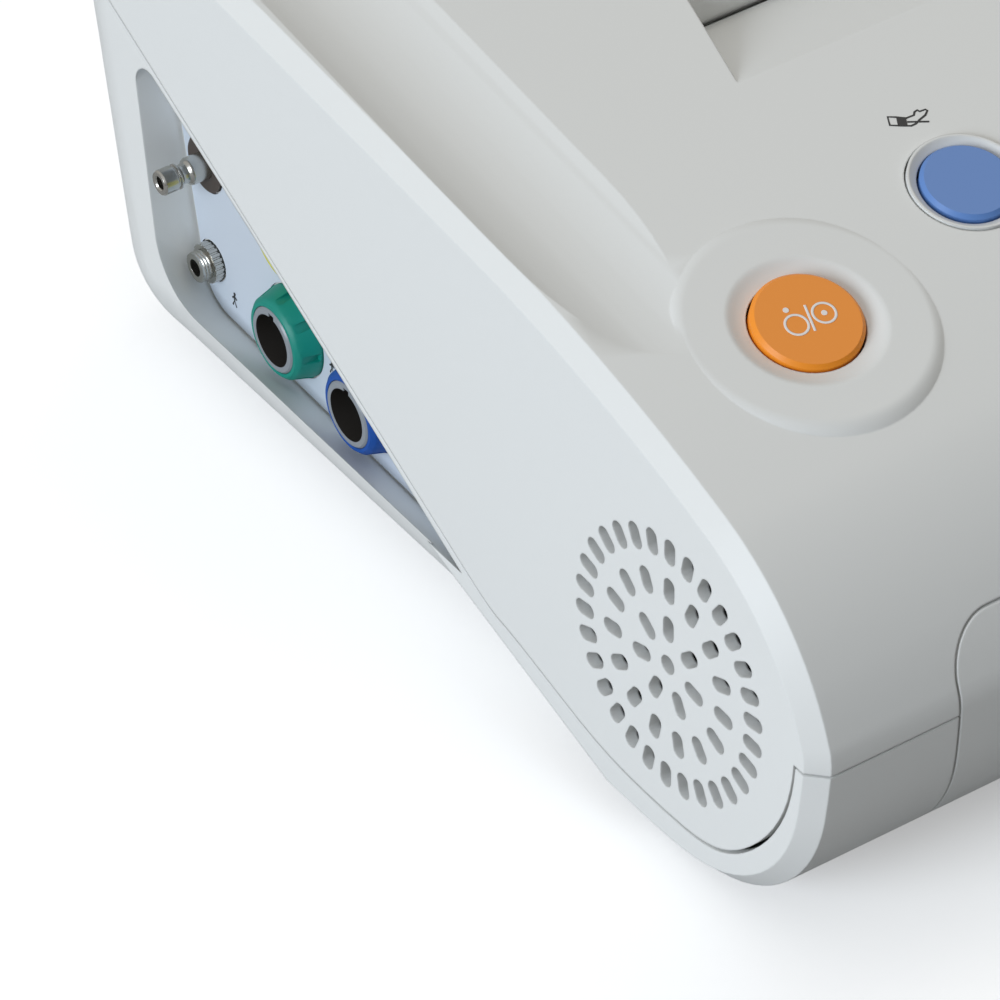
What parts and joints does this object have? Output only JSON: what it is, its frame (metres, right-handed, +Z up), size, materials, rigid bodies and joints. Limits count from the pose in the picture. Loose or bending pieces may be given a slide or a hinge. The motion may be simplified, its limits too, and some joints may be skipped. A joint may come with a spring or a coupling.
{
  "type": "cardiotocograph",
  "caption": "Bench-top fetal monitor: sloping plastic case with round keys, tilting display, front printer door, side speaker and connector bay.",
  "frame": {"origin": "centre of the bounding box at the level of the feet's undersides", "axes": "+X to the device's right, +Y to its rear, +Z up"},
  "size_m": [0.2706, 0.251, 0.1088],
  "materials": {
    "case_plastic": "fine-grained off-white moulding",
    "base_plastic": "fine-grained off-white moulding",
    "door_plastic": "fine-grained off-white moulding",
    "overlay_film": "satin pale blue-grey overlay",
    "blue_plastic": "satin blue moulding",
    "green_plastic": "satin green moulding",
    "yellow_plastic": "satin yellow moulding",
    "blue_shell": "satin grey shell",
    "green_shell": "satin grey shell",
    "yellow_shell": "satin grey shell",
    "blue_contacts": "glossy black insulator",
    "green_contacts": "glossy black insulator",
    "yellow_contacts": "glossy black insulator",
    "jack_metal": "nickel-plated thread",
    "jack_nut_metal": "nickel-plated knurl",
    "nipple_metal": "turned steel",
    "nipple_washer": "dark washer",
    "basket_steel": "black pressed steel",
    "cone_paper": "black paper cone",
    "magnet_iron": "dark ferrite",
    "orange_key": "satin orange moulding",
    "grey_key": "satin grey moulding",
    "blue_key": "satin blue moulding",
    "mark_key_plastic": "satin blue moulding",
    "volume_key_plastic": "satin blue moulding",
    "zero_bezel": "off-white ring",
    "mark_bezel": "off-white ring",
    "volume_bezel": "off-white ring",
    "key_laminate": "green circuit laminate",
    "display_plastic": "fine-grained off-white moulding",
    "display_glass": "dark glossy window",
    "display_pin_steel": "turned steel",
    "door_pin_steel": "turned steel",
    "chassis_steel": "zinc-plated sheet",
    "platen_rubber": "ground black rubber",
    "shaft_steel": "turned steel",
    "gear_plastic": "natural white moulding",
    "pinion_brass": "cut brass",
    "motor_shaft_steel": "turned steel",
    "motor_can": "dark can",
    "head_aluminium": "extruded bar",
    "tear_steel": "thin steel strip",
    "paper": "fan-folded chart paper",
    "main_laminate": "green circuit laminate",
    "supply_can": "zinc-plated cover",
    "inlet_plastic": "black moulding",
    "blade_brass": "plated blades",
    "switch_plastic": "black moulding",
    "rocker_plastic": "glossy black moulding",
    "rocker_pin_steel": "turned steel",
    "stud_brass": "plated stud",
    "port_metal": "plated shells",
    "foot_rubber": "dark rubber",
    "screw_steel": "zinc-plated screws"
  },
  "bodies": {
    "case": {"upper_case": "case_plastic", "lower_case": "base_plastic", "connector_panel": "overlay_film", "blue_collar": "blue_plastic", "green_collar": "green_plastic", "yellow_collar": "yellow_plastic", "blue_socket": "blue_shell", "green_socket": "green_shell", "yellow_socket": "yellow_shell", "blue_insert": "blue_contacts", "green_insert": "green_contacts", "yellow_insert": "yellow_contacts", "marker_jack": "jack_metal", "jack_nut": "jack_nut_metal", "hose_nipple": "nipple_metal", "nipple_flange": "nipple_washer", "speaker_basket": "basket_steel", "speaker_cone": "cone_paper", "speaker_magnet": "magnet_iron", "zero_key_bezel": "zero_bezel", "mark_key_bezel": "mark_bezel", "volume_key_bezel": "volume_bezel", "key_board": "key_laminate", "display_pins": "display_pin_steel", "door_pins": "door_pin_steel", "printer_chassis": "chassis_steel", "feed_motor": "motor_can", "print_head": "head_aluminium", "tear_bar": "tear_steel", "paper_pack": "paper", "main_board": "main_laminate", "power_supply": "supply_can", "mains_inlet": "inlet_plastic", "inlet_blades": "blade_brass", "switch_frame": "switch_plastic", "rocker_pin": "rocker_pin_steel", "earth_stud": "stud_brass", "data_ports": "port_metal", "feet": "foot_rubber", "case_screws": "screw_steel"},
    "start_button": {"start_key": "orange_key"},
    "zero_button": {"zero_key": "blue_key"},
    "mark_button": {"mark_key": "mark_key_plastic"},
    "volume_button": {"volume_key": "volume_key_plastic"},
    "feed_button": {"feed_key": "grey_key"},
    "display": {"display_housing": "display_plastic", "display_lens": "display_glass"},
    "door": {"printer_door": "door_plastic"},
    "platen": {"platen_roller": "platen_rubber", "platen_shaft": "shaft_steel", "platen_gear": "gear_plastic"},
    "motor_rotor": {"motor_pinion": "pinion_brass", "motor_shaft": "motor_shaft_steel"},
    "rocker": {"power_rocker": "rocker_plastic"}
  },
  "joints": [
    {"name": "start_press", "type": "slide", "parent": "case", "child": "start_button", "axis": [0, 0.284, -0.9588], "range_m": [0, 0.0012], "stiffness_N_per_m": 1200, "springref_m": -0.001},
    {"name": "zero_press", "type": "slide", "parent": "case", "child": "zero_button", "axis": [0, 0.2164, -0.9763], "range_m": [0, 0.0012], "stiffness_N_per_m": 1200, "springref_m": -0.001},
    {"name": "mark_press", "type": "slide", "parent": "case", "child": "mark_button", "axis": [0, 0.2164, -0.9763], "range_m": [0, 0.0012], "stiffness_N_per_m": 1200, "springref_m": -0.001},
    {"name": "volume_press", "type": "slide", "parent": "case", "child": "volume_button", "axis": [0, 0.2164, -0.9763], "range_m": [0, 0.0012], "stiffness_N_per_m": 1200, "springref_m": -0.001},
    {"name": "feed_press", "type": "slide", "parent": "case", "child": "feed_button", "axis": [0, 0.284, -0.9588], "range_m": [0, 0.0012], "stiffness_N_per_m": 1200, "springref_m": -0.001},
    {"name": "display_tilt", "type": "hinge", "parent": "case", "child": "display", "pos_m": [0, 0.01553, 0.09253], "axis": [1, 0, 0], "range_deg": [0, 70]},
    {"name": "door_swing", "type": "hinge", "parent": "case", "child": "door", "pos_m": [0, -0.1095, 0.0145], "axis": [1, 0, 0], "range_deg": [0, 55]},
    {"name": "motor_turn", "type": "hinge", "parent": "case", "child": "motor_rotor", "pos_m": [0, -0.08625, 0.03409], "axis": [1, 0, 0], "continuous": true},
    {"name": "platen_turn", "type": "hinge", "parent": "case", "child": "platen", "pos_m": [0, -0.1015, 0.046], "axis": [1, 0, 0], "continuous": true},
    {"name": "rocker_tip", "type": "hinge", "parent": "case", "child": "rocker", "pos_m": [0.04, 0.10521, 0.04668], "axis": [1, 0, 0], "range_deg": [0, 18]}
  ],
  "couplings": [
    {"joint": "motor_turn", "follows": "platen_turn", "ratio": -3}
  ]
}
